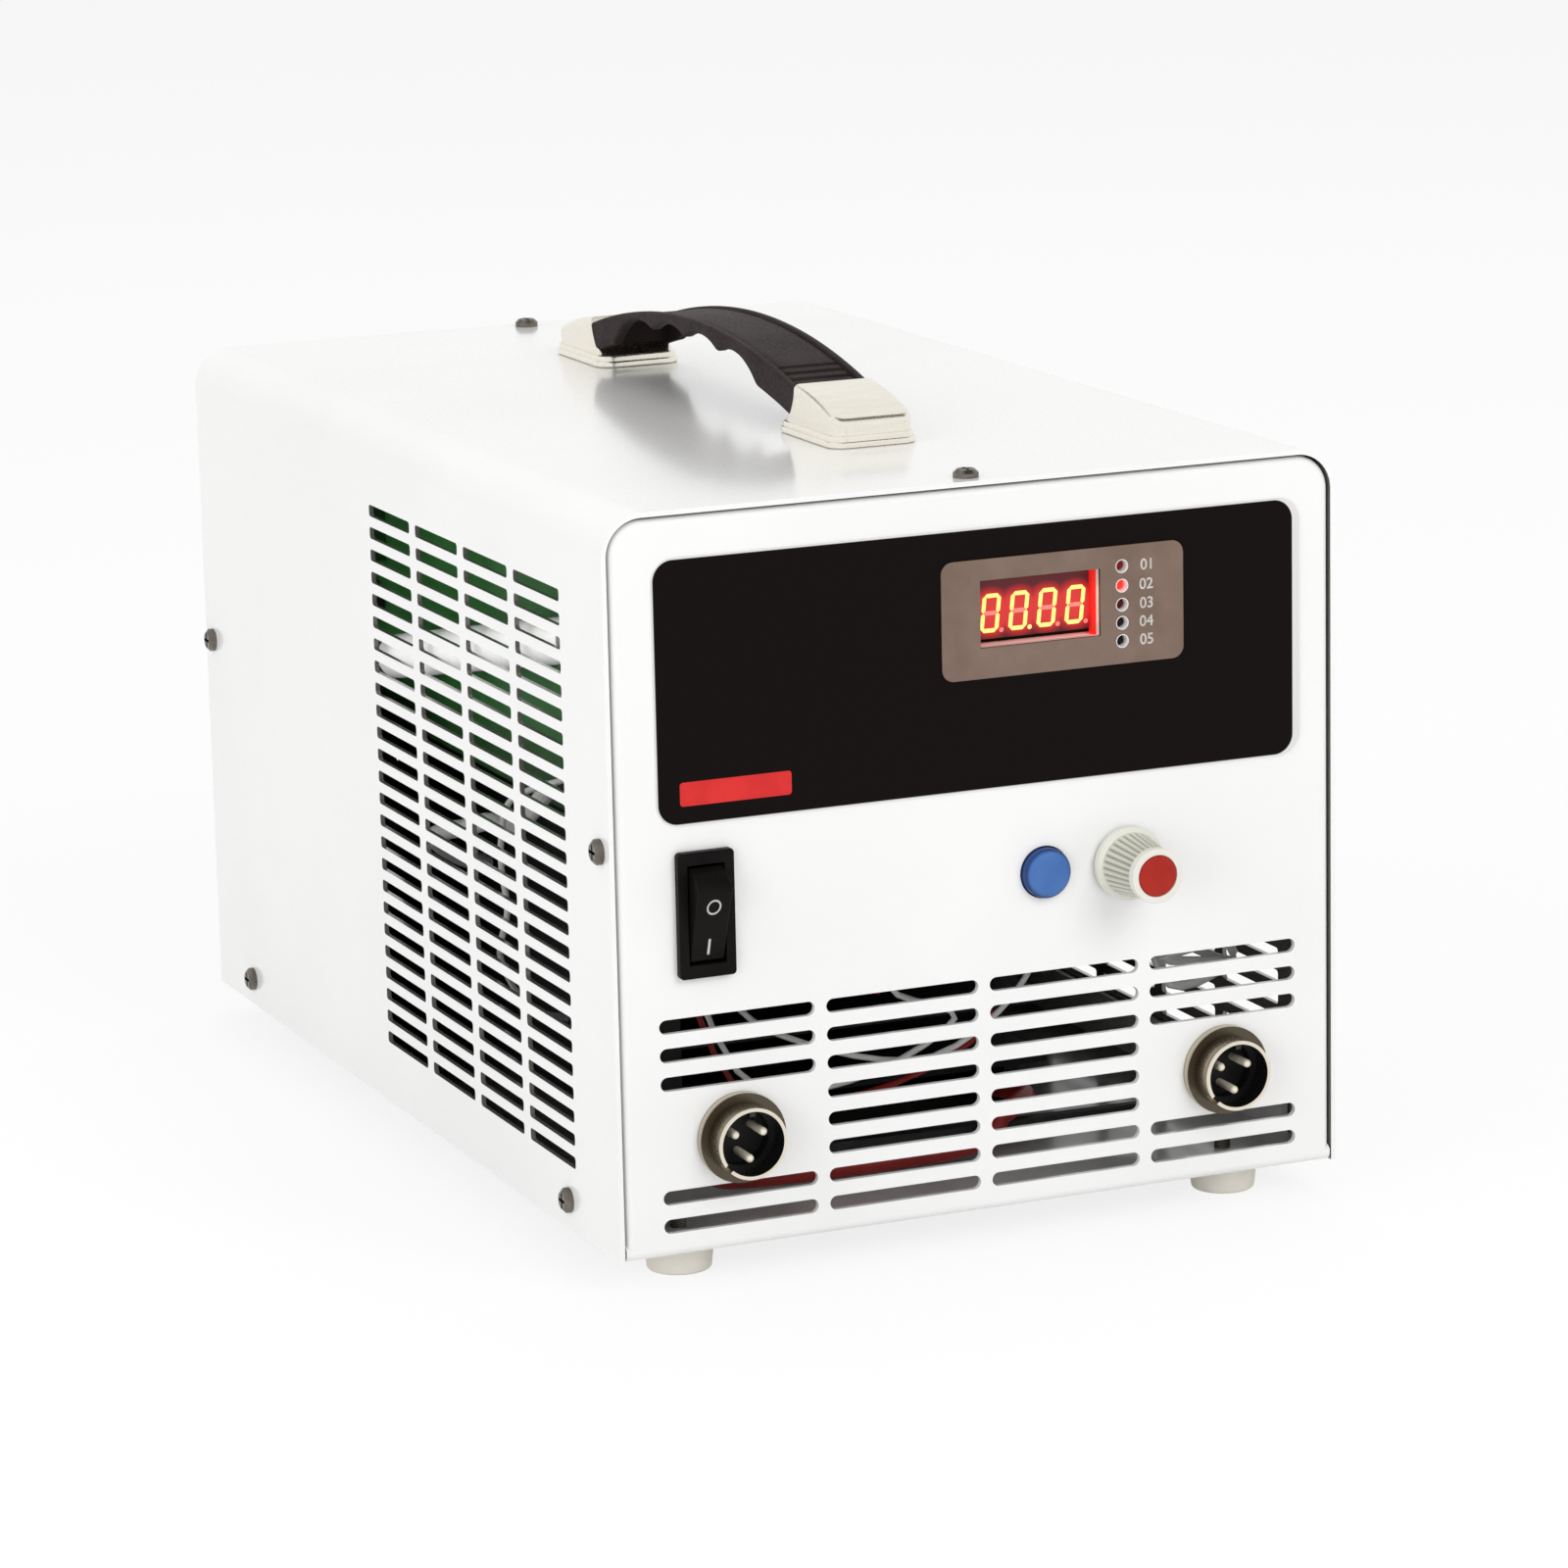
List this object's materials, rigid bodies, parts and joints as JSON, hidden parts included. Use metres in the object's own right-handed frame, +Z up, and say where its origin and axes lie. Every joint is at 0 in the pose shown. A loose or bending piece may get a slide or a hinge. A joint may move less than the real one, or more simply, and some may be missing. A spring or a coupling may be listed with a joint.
{
  "type": "dc electronic load",
  "caption": "Bench dc electronic load for battery capacity tests: folded vented case with carry handle, digital display, rocker switch, push button, knob, round input sockets and rear fan.",
  "frame": {"origin": "centre of the bounding box in X and Y, on the floor under the feet", "axes": "+X to the right seen from the front, +Y from the front to the rear, +Z up"},
  "size_m": [0.194, 0.3214, 0.207],
  "materials": {
    "white_paint": "gloss white powder coat",
    "screw_steel": "nickel plated",
    "foot_rubber": "pale matt",
    "grip_plastic": "fine grain",
    "satin_nickel": "satin",
    "overlay_black": "satin print",
    "plate_grey": "satin",
    "white_plastic": "matt",
    "display_red": "red filter",
    "lamp_red": "clear tinted",
    "board_green": "solder resist",
    "spacer_brass": "turned",
    "black_plastic": "fine matt",
    "button_blue": "satin",
    "knob_cream": "fluted",
    "cap_red": "satin",
    "socket_nickel": "nickel plated",
    "insert_black": "moulded",
    "pin_metal": "silver plated",
    "can_dark": "sleeved",
    "relay_blue": "moulded",
    "aluminium": "extruded",
    "fan_black": "moulded",
    "lead_red": "smooth",
    "lead_black": "smooth",
    "wire_white": "smooth"
  },
  "bodies": {
    "case": {"cover": "white_paint", "chassis": "white_paint", "cover_screws": "screw_steel", "feet": "foot_rubber", "foot_screws": "screw_steel", "handle_grip": "grip_plastic", "handle_caps": "satin_nickel", "handle_screws": "screw_steel", "label_overlay": "overlay_black", "display_plate": "plate_grey", "display_baffle": "white_plastic", "display_module": "display_red", "indicator_lamps": "lamp_red", "control_board": "board_green", "control_spacers": "spacer_brass", "control_screws": "screw_steel", "rocker_housing": "black_plastic", "push_switch": "black_plastic", "potentiometer": "socket_nickel", "pot_nut": "screw_steel", "socket_shells": "socket_nickel", "socket_inserts": "insert_black", "socket_pins": "pin_metal", "socket_nuts": "socket_nickel", "main_board": "board_green", "board_spacers": "spacer_brass", "board_screws": "screw_steel", "capacitors": "can_dark", "relay": "relay_blue", "heat_sink": "aluminium", "sink_screws": "screw_steel", "transistors": "black_plastic", "fan_frame": "fan_black", "fan_guard": "screw_steel", "fan_screws": "screw_steel", "mains_inlet": "black_plastic", "inlet_blades": "pin_metal", "inlet_screws": "screw_steel", "red_lead": "lead_red", "black_lead": "lead_black", "white_wires": "wire_white", "red_wires": "lead_red", "cable_bundle": "wire_white", "switch_terminals": "pin_metal"},
    "switch_rocker": {"rocker": "black_plastic"},
    "push_button": {"button_cap": "button_blue"},
    "set_knob": {"knob": "knob_cream", "knob_cap": "cap_red", "pot_shaft": "aluminium"},
    "fan_wheel": {"fan_rotor": "fan_black"}
  },
  "joints": [
    {"name": "rocker_tilt", "type": "hinge", "parent": "case", "child": "switch_rocker", "pos_m": [-0.0717, -0.1421, 0.0908], "axis": [1, 0, 0], "range_deg": [-40, 0]},
    {"name": "button_press", "type": "slide", "parent": "case", "child": "push_button", "axis": [0, 1, 0], "range_m": [0, 0.0015], "stiffness_N_per_m": 800, "springref_m": -0.001},
    {"name": "knob_turn", "type": "hinge", "parent": "case", "child": "set_knob", "pos_m": [0.038, -0.1453, 0.0905], "axis": [0, 1, 0], "range_deg": [-150, 150]},
    {"name": "fan_spin", "type": "hinge", "parent": "case", "child": "fan_wheel", "pos_m": [0, 0.1432, 0.1005], "axis": [0, 1, 0], "continuous": true}
  ]
}
